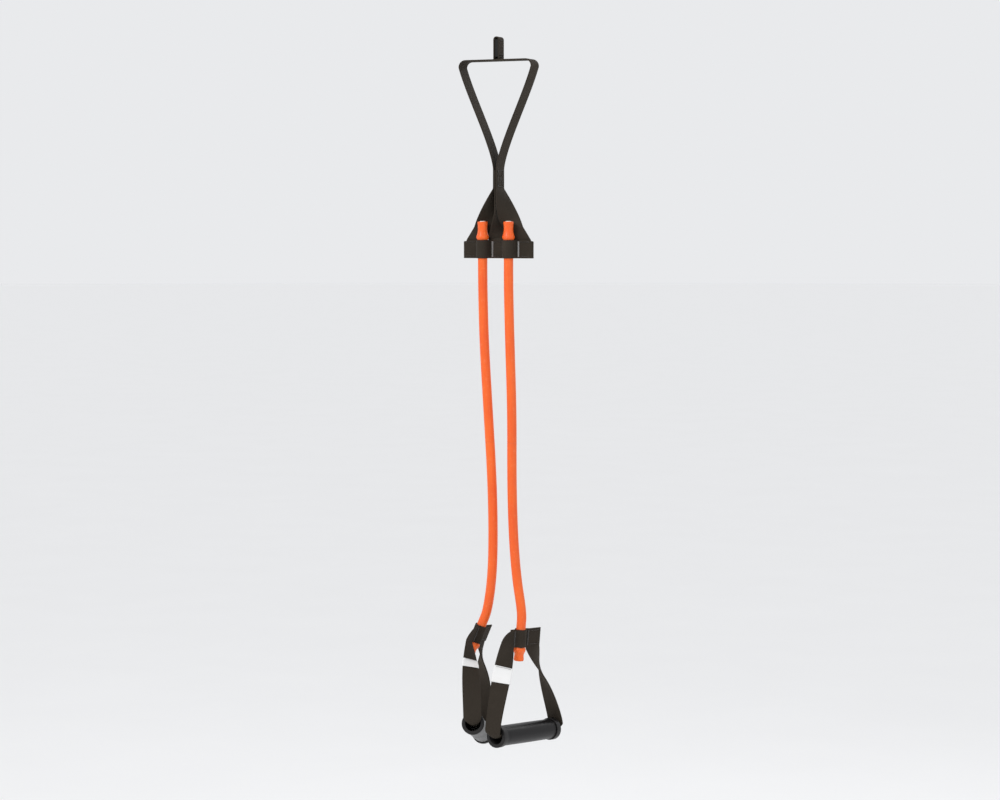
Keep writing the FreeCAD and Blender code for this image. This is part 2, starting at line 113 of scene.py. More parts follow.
# %% Place the camera
def shown(name, data):
    """A new object in the scene."""
    thing = bpy.data.objects.new(name, data)
    bpy.context.scene.collection.objects.link(thing)
    return thing


def aimed(thing, at):
    """The camera or light stands at a place and faces the middle of the band."""
    thing.location = Vector(at)
    thing.rotation_euler = Vector(AIM - np.array(at)).to_track_quat("-Z", "Y").to_euler()
    return thing


bpy.context.scene.view_settings.view_transform = "Standard"
CAMERA_TURN = math.radians(25)
CAMERA_AWAY, CAMERA_HEIGHT, LENS = 3.42, -0.227, 90.0
AIM = np.array([0.004, -0.004, -0.462])
camera_at = AIM + np.array([math.sin(CAMERA_TURN), -math.cos(CAMERA_TURN), 0.0]) * CAMERA_AWAY
camera_at[2] = CAMERA_HEIGHT
camera_data = bpy.data.cameras.new("camera")
camera_data.lens = LENS
camera_data.clip_end = 100.0
bpy.context.scene.camera = aimed(shown("camera", camera_data), camera_at)
print("camera at", np.round(camera_at, 3))

# %% [markdown]
# ## Meshes from arrays
# A strap, a tube and a turned part are all grids: one direction goes round a profile and the other
# along a path. One function turns such a grid of points into a mesh with its UV map.

# %% Turn a grid of points into a mesh
def fitted(piece, body, slot, *nodes):
    """The piece rides on a body, takes a material slot and stands in for the named CAD nodes."""
    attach(piece, body)
    if nodes:
        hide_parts(*nodes)
    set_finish(piece, slot)
    return piece


def meshed(name, points, faces, smooth=True, uv=None):
    """A new mesh in the scene; smooth is for all its faces or each, and uv for each face corner."""
    mesh = bpy.data.meshes.new(name)
    mesh.from_pydata(points.reshape(-1, 3), [], faces)
    mesh.polygons.foreach_set("use_smooth", np.ones(len(faces), dtype=bool) & smooth)
    if uv is not None:
        mesh.uv_layers.new(name="UVMap").data.foreach_set("uv", uv.astype(np.float32).ravel())
    mesh.update()
    return shown(name, mesh)


def uv_grid(u, v, corners):
    """UVs in millimetres for face corners on a grid, with distances u round it and v along it."""
    return np.stack(np.broadcast_arrays(u, v[:, None]), axis=-1).reshape(-1, 2)[corners] * 1000.0


def grid_mesh(name, points, u, v):
    """A closed skin from points[i, j]: i runs along the piece and j round it.

    Faces join (i, j), (i, j+1), (i+1, j+1), (i+1, j), with j wrapping round. Each end is closed by
    one flat face. u is the distance round, v that along; the UV map has both in millimetres.
    """
    rows, cols = points.shape[:2]
    index = np.arange(rows * cols).reshape(rows, cols)
    a, b = index[:-1], np.roll(index, -1, axis=1)[:-1]
    c, d = np.roll(index, -1, axis=1)[1:], index[1:]
    quads = np.stack([a, b, c, d], axis=-1).reshape(-1, 4)
    first = points[0].mean(axis=0)
    spin = np.cross(points[0] - first, np.roll(points[0], -1, axis=0) - first).sum(axis=0)
    if spin @ (points[1].mean(axis=0) - first) < 0:
        quads = quads[:, ::-1]
        caps = [index[0], index[-1][::-1]]
    else:
        caps = [index[0][::-1], index[-1]]
    uv = uv_grid(u, v, np.concatenate([quads.ravel(), *caps]))
    column = quads % cols
    crosses = np.ptp(column, axis=1) > 1
    turn = (u[-1] + (u[1] - u[0]) - u[0]) * 1000.0
    uv[:quads.size, 0] += np.where((column == 0) & crosses[:, None], turn, 0.0).ravel()
    faces = quads.tolist() + [cap.tolist() for cap in caps]
    return meshed(name, points, faces, np.arange(len(faces)) < len(quads), uv)


def unit(v):
    """Each vector divided by its length."""
    return v / np.linalg.norm(v, axis=-1, keepdims=True)


def lengths(at):
    """Distance along a line of points from its first."""
    return np.concatenate([[0.0], np.cumsum(np.linalg.norm(np.diff(at, axis=0), axis=1))])

# %% [markdown]
# ## Webbing
# Webbing is woven flat with thick lengthwise ribs, and its edges are rounded where the weft turns
# back. A strap is that one cross-section carried along a path. Each point of the path says where
# the middle of the strap is, which way its width runs and which way it faces, so it can twist,
# fold over a hook or turn a corner in its own plane.

# %% Draw the webbing's cross-section
RIB_PITCH, RIB_DEPTH = 0.0021, 0.00016
RIB_STEPS, EDGE_STEPS = 5, 6
CUP_DEPTH = 0.9
STEP, FINE_STEP = 0.0022, 0.0012

def web_profile(width):
    """Points (across, out) round the section: ribbed flats joined by half-round edges.

    A flat's height is thick/2 - depth * (1 - cos(2 pi across / pitch)) / 2.
    """
    edge = WEB_T / 2
    half = width / 2 - edge
    count = int(round(2 * half / RIB_PITCH)) * RIB_STEPS
    across = np.linspace(-half, half, count + 1)
    ribs = (across + half) / (2 * half) * count / RIB_STEPS
    height = edge - RIB_DEPTH * (1 - np.cos(2 * np.pi * ribs)) / 2
    bend = np.linspace(np.pi / 2, -np.pi / 2, EDGE_STEPS + 2)[1:-1]
    right = np.stack([half + edge * np.cos(bend), edge * np.sin(bend)], axis=1)
    top = np.stack([across, height], axis=1)
    return np.concatenate([top, right, -top, -right])


print("points round the webbing:", len(web_profile(WEB_W)))

# %% [markdown]
# A path is kept as a small record of arrays. Short stretches are worked out one by one, such as a
# straight, an arc or a free curve between two sections, and are then joined end to end.

# %% Describe a stretch of strap
def stretch(at, across, face, width=WEB_W):
    """A stretch of strap: middle line, width direction, face direction and width, as arrays."""
    at = np.asarray(at, dtype=float)
    full = np.ones((len(at), 1))
    return {"at": at, "across": unit(across * full), "face": unit(face * full),
            "width": width * np.ones(len(at))}


def joined(*parts):
    """Stretches end to end, leaving out a point that repeats the one before."""
    whole = {k: np.concatenate([p[k] for p in parts]) for k in parts[0]}
    keep = np.concatenate([[True], np.linalg.norm(np.diff(whole["at"], axis=0), axis=1) > 1e-5])
    return {k: v[keep] for k, v in whole.items()}


def placed(part, origin, axes):
    """The stretch moved from a local frame: origin, and the local axes as rows."""
    return dict(part, at=origin + part["at"] @ axes, across=part["across"] @ axes, face=part["face"] @ axes)


def reflected(part, signs, across=1, face=1):
    """The stretch with each coordinate times its sign, for the other half of a symmetric strap."""
    s = np.array(signs, dtype=float)
    return dict(part, at=part["at"] * s, across=part["across"] * s * across, face=part["face"] * s * face)


def backwards(part):
    """The stretch from its last point to its first."""
    return {k: v[::-1] for k, v in part.items()}


def bridge(first, last, reach_first, reach_last, early=1.0):
    """A free curve between two sections.

    The middle follows the cubic with the given end tangents; the width direction eases from one
    to the other and is kept square to the curve; the face is the curve's direction crossed with it.
    An early below 1 brings the turn nearer to the first section.
    """
    t = np.linspace(0, 1, 60)[:, None]
    a, b = first["at"][-1], last["at"][0]
    at = ((2 * t**3 - 3 * t**2 + 1) * a + (t**3 - 2 * t**2 + t) * reach_first
          + (3 * t**2 - 2 * t**3) * b + (t**3 - t**2) * reach_last)
    along = unit(np.gradient(at, axis=0))
    ease = t**(2 * early) * (3 - 2 * t**early)
    across = first["across"][-1] * (1 - ease) + last["across"][0] * ease
    across = unit(across - along * (across * along).sum(axis=1, keepdims=True))
    face = np.cross(along, across)
    guide = first["face"][-1] * (1 - t) + last["face"][0] * t
    face = face * np.where((face * guide).sum(axis=1, keepdims=True) < 0, -1, 1)
    return stretch(at, across, face)


def strap(name, path, step=STEP, lift=None):
    """The webbing's section carried along a path, resampled to even steps.

    Where the path is narrower than the webbing, the section cups into a shallow arc. lift, if given,
    says how far the edge on the across side is drawn out at each distance along the path.
    """
    far = lengths(path["at"])
    even = np.linspace(0, far[-1], max(int(far[-1] / step), 8))
    at, across, face = (np.stack([np.interp(even, far, column) for column in path[k].T], axis=1)
                        for k in ("at", "across", "face"))
    width = np.interp(even, far, path["width"])
    across = unit(across)
    face = unit(face - across * (face * across).sum(axis=1, keepdims=True))
    ring = web_profile(min(width.max(), WEB_W))
    wide, high = ring.T
    full = np.abs(wide).max()
    flat = (width / 2 / full)[:, None]
    squeeze = np.clip(1 - flat**2, 0, 1)
    out = high - squeeze * (wide**2 - full**2 / 3) / full * CUP_DEPTH
    side = wide * flat
    if lift is not None:
        side = side + lift(even)[:, None] * (wide / full * 0.5 + 0.5)**2
    points = at[:, None] + side[..., None] * across[:, None] + out[..., None] * face[:, None]
    return grid_mesh(name, points, lengths(ring), even)

# %% [markdown]
# ### The anchor strap
# One length of webbing makes the loop over the hook, the sewn neck and the two outer strands. The
# strands have straight outer edges. Beside the tubes' ends they are face-on, and above them they
# turn a quarter, so that in the neck all the layers lie edge-on. Each strand is worked out as level
# sections from where its outer and inner edges should be.

# %% Make the anchor strap and the centre strap
FACE_ON, CENTRE_TURN = 0.018, 0.045
LOOP_CORNER, CENTRE_SHORT = 0.009, 0.002
LEG_LEAVES, LEG_ARRIVES = np.array([-0.012, 0, 0.10]), np.array([-0.036, 0, 0.12])
PRESSED_WIDTH, PRESSED_UP_TO = 0.006, 0.012

def level(at, angle, width, sign, side):
    """Level sections: across is -sign (cos, sin, 0) of the angle, face is -side (sin, -cos, 0)."""
    cosine, sine, flat = np.cos(angle), np.sin(angle), np.zeros_like(angle)
    return stretch(at, -sign * np.stack([cosine, sine, flat], axis=1),
                   -side * np.stack([sine, -cosine, flat], axis=1), width)


def from_bar(strand):
    """The strand with a straight piece added below it, down inside the bar's wrap."""
    low = {k: v[:1].copy() for k, v in strand.items()}
    low["at"][0, 2] = BAR_BOTTOM + GAP
    return joined(low, strand)


def flare(side):
    """A side strand from the bar to the neck; side is -1 for the left and 1 for the right.

    The outer edge runs straight from outer_low to LAYER. The inner edge runs beside it and then
    levels off: LAYER + (inner - LAYER) * (1 - e)^p. The angle's cosine is (outer - inner) / width.
    """
    drop = NECK_LOW - BAR_TOP
    outer_low = BAR_HALF - WEB_T / 2 - LAYER
    slope = (outer_low - LAYER) / drop
    half_low = WEB_W / 2 * math.hypot(1, slope)
    inner_turn = outer_low - slope * FACE_ON - 2 * half_low
    power = slope * (drop - FACE_ON) / (inner_turn - LAYER)
    h = np.linspace(0, drop, 60)
    e = np.clip((h - FACE_ON) / (drop - FACE_ON), 0, 1)
    outer = outer_low - slope * h
    width = 2 * half_low + (WEB_W - 2 * half_low) * e**2
    inner = np.where(h > FACE_ON, LAYER + (inner_turn - LAYER) * (1 - e)**power, outer - width)
    angle = np.arccos(np.clip((outer - inner) / width, 0, 1))
    at = np.stack([side * (outer + inner) / 2, 0 * h, BAR_TOP + h], axis=1)
    strand = level(at, angle, width, 1, side)
    return from_bar(strand)


def half_loop():
    """The left half, from the neck to the middle of the loop's top."""
    neck = stretch([[-LAYER, 0, NECK_LOW], [-LAYER, 0, NECK_HIGH]], -Y, X)
    top = WEB_T / 2
    a = np.linspace(np.pi, np.pi / 2, 14)[:, None]
    out = np.cos(a) * X + np.sin(a) * Z
    bend = stretch(np.array([-LOOP_HALF + LOOP_CORNER, 0, top - LOOP_CORNER]) + out * LOOP_CORNER, -Y, -out)
    leg = bridge(neck, bend, LEG_LEAVES, LEG_ARRIVES)
    flat = stretch([[-LOOP_HALF + LOOP_CORNER, 0, top], [0, 0, top]], -Y, -Z)
    return joined(neck, leg, bend, flat)


loop = half_loop()
whole = joined(flare(-1), loop, backwards(joined(flare(1), reflected(loop, (-1, 1, 1)))))
fitted(strap("webbing_anchor_strap", whole), "anchor", "webbing", "anchor_strap")

h = np.linspace(0, CENTRE_TURN, 40)
turning = np.pi / 2 * (1 - (1 - h / CENTRE_TURN)**2)
pressed = PRESSED_WIDTH * np.clip(1 - h / PRESSED_UP_TO, 0, 1)**2
rising = level(np.stack([0 * h, 0 * h, BAR_TOP + h], axis=1), turning, WEB_W + pressed, -1, -1)
above = stretch([[0, 0, NECK_LOW], [0, 0, NECK_HIGH - CENTRE_SHORT]], Y, X)
centre_strap = strap("webbing_centre_strap", joined(from_bar(rising), above))
fitted(centre_strap, "anchor", "webbing", "centre_strap")
print("anchor strap, metres of webbing:", round(float(lengths(whole["at"])[-1]), 3))

# %% [markdown]
# ### The bar's wrap
# One strip goes round the strands' lower ends. In front it arches over the two tubes.

# %% Make the bar's wrap
YOKE_ARCH = 0.66
HUMP, HUMP_HALF = 0.0030, 0.0115
DROOP, DROOP_FROM, DROOP_OVER = 0.0022, 0.036, 0.016

def over_tube(middle, flat, depth):
    """Points (along, height) of webbing that arches over a tube at a place along a layer.

    It is a half circle of the tunnel's radius, or where the tube lies in the layer, as in a yoke,
    the middle part of one. A smooth step joins each foot to the flat.
    """
    a = np.linspace(-np.pi / 2, np.pi / 2, 26) * (1.0 if depth > flat else YOKE_ARCH)
    arch = np.stack([middle + TUNNEL_R * np.sin(a), depth + TUNNEL_R * np.cos(a)], axis=1)
    t = np.linspace(0, 1, 12)[:-1]
    side = arch[-1, 0] - middle
    foot = middle - side - TUNNEL_FOOT * (1 - t)**1.6
    rise = flat + (arch[0, 1] - flat) * t**2.4
    left = np.stack([foot, rise], axis=1)
    right = left[::-1].copy()
    right[:, 0] = 2 * middle - right[:, 0]
    return np.concatenate([left, arch, right])


def wrap_path():
    """The closed strip, seen from above, from the butted ends behind and round by the left."""
    inner = BAR_HALF - LAYER
    a = np.linspace(np.pi / 2, -np.pi / 2, 12)
    right_end = np.stack([inner + LAYER * np.cos(a), LAYER * np.sin(a)], axis=1)[::-1]
    left_end = -right_end
    front = np.concatenate([over_tube(-TUBE_SPACING / 2, LAYER, TUBE_FORWARD),
                            over_tube(TUBE_SPACING / 2, LAYER, TUBE_FORWARD)])
    front[:, 1] *= -1
    flat = np.concatenate([[[-GAP, LAYER]], left_end, front, right_end, [[GAP, LAYER]]])
    at = np.column_stack([flat, np.full(len(flat), (BAR_TOP + BAR_BOTTOM) / 2)])
    along = unit(np.gradient(at, axis=0))
    return stretch(at, Z, np.cross(along, Z))


wrap = wrap_path()
wrap_far = lengths(wrap["at"])


def drawn_up(even):
    """How far the upper edge rises: a hump in front between the tunnels, and a droop at both ends."""
    x, y = (np.interp(even, wrap_far, wrap["at"][:, k]) for k in (0, 1))
    hump = HUMP * np.clip(1 - (x / HUMP_HALF)**2, 0, 1)
    droop = -DROOP * np.clip((np.abs(x) - DROOP_FROM) / DROOP_OVER, 0, 1)**2
    return np.where(y < -LAYER / 2, hump + droop, droop)


bar_wrap = strap("webbing_bar_wrap", wrap, step=FINE_STEP, lift=drawn_up)
fitted(bar_wrap, "anchor", "webbing", "bar_wrap")
print("bar wrap faces:", len(bar_wrap.data.polygons))

# %% [markdown]
# ## Stitches
# A seam is many short stitches, each a little arch of thread that dips into the cloth at both ends.

# %% Lay rows of stitches
THREAD_R = 0.00042
THREAD_PROUD = 0.00012
STITCH_GAP = 0.06

def stitches(name, starts, ends, out, radius=THREAD_R, rings=6, sides=6):
    """One mesh of thread: an arch from each start to each end.

    Its middle is start + (end - start) s + out * (1.5 r sin(pi s) - 0.2 r) for s from 0 to 1, and its
    radius is r * (0.35 + 0.65 sin(pi s)).
    """
    starts, ends, out = (np.asarray(v, dtype=float) for v in (starts, ends, out))
    n = len(starts)
    out = unit(np.broadcast_to(out, (n, 3)))
    s = np.linspace(0, 1, rings)
    rise = 1.5 * radius * np.sin(np.pi * s) - 0.2 * radius
    thick = radius * (0.35 + 0.65 * np.sin(np.pi * s))
    middle = starts[:, None] + (ends - starts)[:, None] * s[:, None] + out[:, None] * rise[:, None]
    side = unit(np.cross(ends - starts, out))
    a = np.arange(sides) * 2 * np.pi / sides
    ring = np.cos(a)[:, None] * side[:, None, None, :] + np.sin(a)[:, None] * out[:, None, None, :]
    points = middle[:, :, None] + ring * thick[None, :, None, None]
    block = rings * sides
    i, j = np.meshgrid(np.arange(rings - 1), np.arange(sides), indexing="ij")
    k = (j + 1) % sides
    here, there = i * sides, (i + 1) * sides
    one = np.stack([here + j, there + j, there + k, here + k], axis=-1).reshape(-1, 4)
    first = np.arange(n)[:, None] * block
    faces = (one[None] + first[..., None]).reshape(-1, 4)
    first_caps = np.arange(sides)[None] + first
    last_caps = np.arange(sides)[None, ::-1] + (rings - 1) * sides + first
    return meshed(name, points, faces.tolist() + first_caps.tolist() + last_caps.tolist())


def tack(middle, wide, tall, out, width=0.0030, height=0.021, pitch=0.00075):
    """One group for seam(): a bar tack, which is a zigzag of the given width up a line."""
    n = int(height / pitch)
    up = (np.arange(n + 1) / n - 0.5)[:, None] * height * tall
    across = np.where(np.arange(n + 1) % 2, 0.5, -0.5)[:, None] * width * wide
    line = middle + up + across + out * THREAD_PROUD
    return line[:-1], line[1:], out


def row(a, b, out, count):
    """One group for seam(): a plain row of stitches from a to b, with short gaps between them."""
    t = np.linspace(0, 1, count + 1)[:, None]
    line = np.asarray(a) + (np.asarray(b) - np.asarray(a)) * t + np.asarray(out) * THREAD_PROUD
    keep = 1 - STITCH_GAP
    return line[:-1] * keep + line[1:] * STITCH_GAP, line[1:] * keep + line[:-1] * STITCH_GAP, out


def seam(name, parts, slot, body, *nodes):
    """One piece from several (starts, ends, out) groups."""
    starts = np.concatenate([p[0] for p in parts])
    ends = np.concatenate([p[1] for p in parts])
    out = np.concatenate([np.broadcast_to(p[2], p[0].shape) for p in parts])
    fitted(stitches(name, starts, ends, out), body, slot, *nodes)

# %% [markdown]
# The bar is tacked on both sides of each tunnel. The tacks to the right of the tubes are sewn in pale
# thread and the others in black. The neck has a boxed cross through all three layers.

# %% Sew the bar and the neck
TACK_BESIDE = TUNNEL_R + TUNNEL_FOOT + 0.0014
ROW_INSET, BOX_INSET = 0.0028, 0.003
ROW_SPANS = ((-0.0475, -0.034), (-0.0055, 0.0055), (0.034, 0.0475))
bar_middle = (BAR_TOP + BAR_BOTTOM) / 2
face_out = LAYER + WEB_T / 2
pale, dark = [], []
for tube in (-1, 1):
    for side in (-1, 1):
        for face in (-1, 1):
            at = np.array([tube * TUBE_SPACING / 2 + side * TACK_BESIDE, face * face_out, bar_middle])
            group = pale if side > 0 and face < 0 else dark
            group.append(tack(at, X, Z, Y * face))
seam("thread_bar_tacks_pale", pale, "thread", "anchor", "bar_stitching")
for face in (-1, 1):
    for z in (BAR_TOP - ROW_INSET, BAR_BOTTOM + ROW_INSET):
        for a, b in ROW_SPANS:
            dark.append(row([a, face * face_out, z], [b, face * face_out, z], Y * face, 5))
seam("thread_bar_tacks_dark", dark, "thread_black", "anchor")

neck = []
half_y = WEB_W / 2 - BOX_INSET
for side in (-1, 1):
    x = side * face_out
    low, high = NECK_LOW + ROW_INSET, NECK_HIGH - ROW_INSET
    corners = [[x, -half_y, low], [x, half_y, low], [x, half_y, high], [x, -half_y, high]]
    for a, b in ((0, 1), (1, 2), (2, 3), (3, 0), (0, 2), (1, 3)):
        neck.append(row(corners[a], corners[b], X * side, 8))
seam("thread_neck", neck, "thread_black", "anchor", "neck_stitching")
print("stitches in the bar's black tacks:", sum(len(p[0]) for p in dark))

# %% [markdown]
# ### The stop tab
# A short strip is folded over a small core and sewn upright on top of the loop.

# %% Fold the stop tab
TAB_WIDTH, TAB_LIFT, TAB_ROW_HALF = 0.0170, 0.0004, 0.0068
tab_low, tab_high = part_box("stop_tab_cover")
tab_x = float(tab_high[0]) - WEB_T / 2
tab_top = float(tab_high[2]) - WEB_T / 2 - tab_x
a = np.linspace(np.pi, 0, 22)[:, None]
tab_out = np.cos(a) * X + np.sin(a) * Z
tab_arc = stretch(np.array([0, 0, tab_top]) + tab_out * tab_x, Y, tab_out, TAB_WIDTH)
tab_foot = float(tab_low[2]) + TAB_LIFT
tab_legs = [stretch([[s * tab_x, 0, tab_foot], [s * tab_x, 0, tab_top]], Y, X * s, TAB_WIDTH)
            for s in (-1, 1)]
tab_path = joined(tab_legs[0], tab_arc, backwards(tab_legs[1]))
fitted(strap("webbing_stop_tab", tab_path, step=FINE_STEP), "anchor", "webbing", "stop_tab_cover")
tab_rows = []
for s in (-1, 1):
    x = s * (tab_x + WEB_T / 2)
    for z in (tab_foot + 0.003, tab_foot + 0.0055, tab_top - 0.001):
        tab_rows.append(row([x, -TAB_ROW_HALF, z], [x, TAB_ROW_HALF, z], X * s, 6))
seam("thread_stop_tab", tab_rows, "thread_black", "anchor", "stop_tab_stitching")

# %% [markdown]
# ## Tubes
# Each tube hangs from the bar to its handle along a smooth NURBS spline. It swings under the bar and
# it stretches, but a piece can bend across one joint only. Each tube is made as two lengths that
# meet halfway, and the ring that they share has the same points, so no seam shows. Neither length
# is tied to a body or a joint here.

# %% Lay out the tubes' routes
TUBE_ROUTES = {
    "left": [(-0.0193, -0.0096, -0.315), (-0.0174, -0.0094, -0.385), (-0.0115, -0.0088, -0.480),
             (-0.0060, -0.0084, -0.570), (-0.0044, -0.0078, -0.645), (-0.0066, -0.0064, -0.705)],
    "right": [(0.0198, -0.0102, -0.315), (0.0222, -0.0108, -0.390), (0.0254, -0.0110, -0.480),
              (0.0248, -0.0104, -0.570), (0.0266, -0.0096, -0.645), (0.0314, -0.0092, -0.705)],
}
TUBE_APPROACH, TUBE_STANDOFF = 0.020, 0.003
TUBE_STEP = 0.0012

def tube_line(side):
    """The tube's middle line, from its top rim to its bottom rim, read from its NURBS spline."""
    swivel = joints[side + "_handle_swivel"]
    yoke, up = np.array(swivel["pos_m"]), np.array(swivel["axis"])
    sign = -1 if side == "left" else 1
    top = np.array([sign * TUBE_SPACING / 2, -TUBE_FORWARD, BAR_TOP])
    above = yoke + up * (WEB_W / 2 + TUBE_STANDOFF)
    route = [top + Z * TOP_STUB, top - Z * (WEB_W - TUBE_STANDOFF)]
    route += TUBE_ROUTES[side]
    route += [above + up * TUBE_APPROACH, above, yoke - up * (WEB_W / 2 + BOTTOM_STUB)]
    data = bpy.data.curves.new(side + "_route", "CURVE")
    data.dimensions = "3D"
    data.resolution_u = 24
    spline = data.splines.new("NURBS")
    spline.points.add(len(route) - 1)
    for point, place in zip(spline.points, route):
        point.co = (*place, 1.0)
    spline.order_u = 3
    spline.use_endpoint_u = True
    holder = shown(side + "_route", data)
    mesh = bpy.data.meshes.new_from_object(holder.evaluated_get(bpy.context.evaluated_depsgraph_get()))
    line = np.empty(len(mesh.vertices) * 3)
    mesh.vertices.foreach_get("co", line)
    line = line.reshape(-1, 3)
    bpy.data.objects.remove(holder)
    bpy.data.meshes.remove(mesh)
    far = lengths(line)
    even = np.linspace(0, far[-1], int(far[-1] / TUBE_STEP))
    return np.stack([np.interp(even, far, c) for c in line.T], axis=1)

# %% [markdown]
# A plug inside each end spreads the tube: widest where it bears on the webbing, then a waist, then
# a small rim round the plug's head. The radius along the tube is that curve at both ends and plain
# between them.

# %% Give the tube its radius
BEND_ABOVE, BEND_BELOW, STRETCH_DOWN_TO = 0.012, 0.020, 0.49

def end_radius(s, stub):
    """Radius at a distance s past the webbing's edge, for an end that stands out by stub."""
    marks = [-1.0, 0.0003, 0.0012, 0.0025, 0.0046, 0.0078, 0.52 * stub,
             stub - 0.005, stub - 0.0019, stub - 0.0006, stub]
    radii = [6.5, 6.5, 8.0, 8.7, 8.7, 7.4, 6.4, 6.6, 7.1, 7.05, 6.5]
    return np.interp(s, marks, np.array(radii) / 1000)


def softened(values):
    """The mean of each value and its two neighbours, which rounds the corners of a profile."""
    return np.convolve(np.pad(values, 1, mode="edge"), np.ones(3) / 3, mode="valid")


def tube_skin(name, line, radius, far):
    """A round skin: line + radius * (cos a * e1 + sin a * e2), e1 kept square to the line."""
    along = unit(np.gradient(line, axis=0))
    e1 = unit(X - along * (along @ X)[:, None])
    e2 = np.cross(along, e1)
    a = np.arange(40) * 2 * np.pi / 40
    ring = np.cos(a)[:, None] * e1[:, None] + np.sin(a)[:, None] * e2[:, None]
    points = line[:, None] + radius[:, None, None] * ring
    return grid_mesh(name, points, a * TUBE_R, far)


def make_tube(side):
    """Both lengths of a tube, which hang from the bar; neither is tied to a body."""
    line = tube_line(side)
    far = lengths(line)
    left_over = far[-1] - far
    radius = np.where(far < TOP_STUB, end_radius(TOP_STUB - far, TOP_STUB), TUBE_R)
    radius = np.where(left_over < BOTTOM_STUB, end_radius(BOTTOM_STUB - left_over, BOTTOM_STUB), radius)
    radius = softened(radius)
    middle = len(line) // 2
    x, y = line[0, :2].tolist()
    joint = line[middle].tolist()
    parts = (("upper", slice(0, middle + 1), ("anchor", side + "_tube_run"), (x, y, BAR_TOP),
              (x, y, BAR_BOTTOM + BEND_ABOVE), (x, y, BAR_BOTTOM - BEND_BELOW)),
             ("lower", slice(middle, None), (side + "_tube_run", side + "_tube_end"), tuple(joint),
              tuple(joint), (joint[0], joint[1], BAR_BOTTOM - STRETCH_DOWN_TO)))
    for name, part, bodies, leaves, start, end in parts:
        skin = tube_skin(f"{side}_tube_{name}", line[part], radius[part], far[part])
        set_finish(skin, "latex")
        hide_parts(side + "_tube")
        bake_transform(skin)
    print(side, "tube, metres end to end:", round(float(far[-1]), 3))
    return line


tube_lines = {side: make_tube(side) for side in SIDES}

# %% [markdown]
# ### Plugs
# Each plug is a turned piece of ivory plastic. Only its domed head shows, inside the tube's rim.

# %% Turn a closed profile round an axis
def turned(name, profile, origin, axis, around=64, closed=True):
    """A solid of revolution: profile rows are (distance along the axis, radius).

    A closed profile makes a ring; an open one starts and ends at radius zero.
    """
    axis = unit(np.asarray(axis, dtype=float))
    e1 = unit(np.cross(axis, X if abs(axis[0]) < 0.9 else Y))
    e2 = np.cross(axis, e1)
    a = np.arange(around) * 2 * np.pi / around
    ring = np.cos(a)[:, None] * e1 + np.sin(a)[:, None] * e2
    profile = np.asarray(profile, dtype=float)
    points = origin + profile[:, None, :1] * axis + profile[:, None, 1:] * ring[None]
    rows, cols = points.shape[:2]
    index = np.arange(rows * cols).reshape(rows, cols)
    nxt = np.roll(index, -1, axis=0) if closed else index[1:]
    here = index if closed else index[:-1]
    quads = np.stack([here, nxt, np.roll(nxt, -1, axis=1), np.roll(here, -1, axis=1)], axis=-1)
    quads = quads.reshape(-1, 4)
    loop = np.vstack([profile, profile[:1]])
    turn = (loop[:-1, 0] * loop[1:, 1] - loop[1:, 0] * loop[:-1, 1]).sum()
    if turn < 0:
        quads = quads[:, ::-1]
    uv = uv_grid(a * np.abs(profile[:, 1]).max(), lengths(profile), quads.ravel())
    thing = meshed(name, points, quads.tolist(), True, uv)
    if not closed:
        bm = bmesh.new()
        bm.from_mesh(thing.data)
        bmesh.ops.remove_doubles(bm, verts=bm.verts, dist=1e-6)
        bmesh.ops.recalc_face_normals(bm, faces=bm.faces)
        bm.to_mesh(thing.data)
        bm.free()
    return thing


def rounded(corners, radius, steps):
    """A closed profile with each corner rounded: a quarter-like arc between points on its two sides."""
    corners = np.asarray(corners, dtype=float)
    before, after = np.roll(corners, 1, axis=0), np.roll(corners, -1, axis=0)
    t = np.linspace(0, 1, steps)[:, None]
    out = []
    for p, a, b, r in zip(corners, before, after, np.broadcast_to(radius, len(corners))):
        start, end = p + unit(a - p) * r, p + unit(b - p) * r
        out.append((1 - t)**2 * start + 2 * t * (1 - t) * p + t**2 * end)
    return np.concatenate(out)

# %% Make the plugs
PLUG_R, PLUG_LIP, PLUG_DOME = 0.0041, 0.0003, 0.0007

def plug(side, end):
    """A plug's head and stem at one end of a tube."""
    line = tube_lines[side]
    tip, inward = (line[0], line[3]) if end == "top" else (line[-1], line[-4])
    out = unit(tip - inward)
    bow = np.sin(np.linspace(0, 1, 9) * np.pi / 2)
    dome = np.column_stack([PLUG_LIP + PLUG_DOME * bow[::-1], PLUG_R * bow])
    body = np.array([[-0.002, PLUG_R], [-0.014, PLUG_R * 0.8], [-0.016, 0.0]])
    piece = turned(f"{side}_{end}_plug_head", np.vstack([dome, body]), tip, out, closed=False)
    fitted(piece, "anchor" if end == "top" else side + "_tube_end", "plug", f"{side}_{end}_plug")


for side in SIDES:
    for end in ("top", "bottom"):
        plug(side, end)
print("tube ends at", [np.round(line[-1], 3).tolist() for line in tube_lines.values()])

# %% [markdown]
# ## Handles
# A handle is one strap. Its two ends overlap in the yoke, where they are sewn on both sides of the
# tube. From there each end turns a shoulder in its own plane, comes down as a strand with a
# quarter turn, and bends over the grip's mouth, where it cups to fit the bore. Both halves are the
# same path, the second turned half round. The yoke and the grip have frames of their own, read from
# the swivel and the spin joints.

# %% Find each handle's frames
FRONT_TAIL, BACK_TAIL, FOLD_RADIUS, SHOULDER_END = 0.0345, 0.017, 0.001, 14.0
GRIP_LENGTH, COLLAR_LIP, MOUTH_BEND, CUPPED = 0.131, 0.002, 0.0065, 0.0186
MOUTH_CLEAR, CUPPED_FROM = 0.001, 0.002
STRAND_LEAVES, STRAND_ARRIVES, STRAND_EARLY = 0.085, 0.048, 0.6

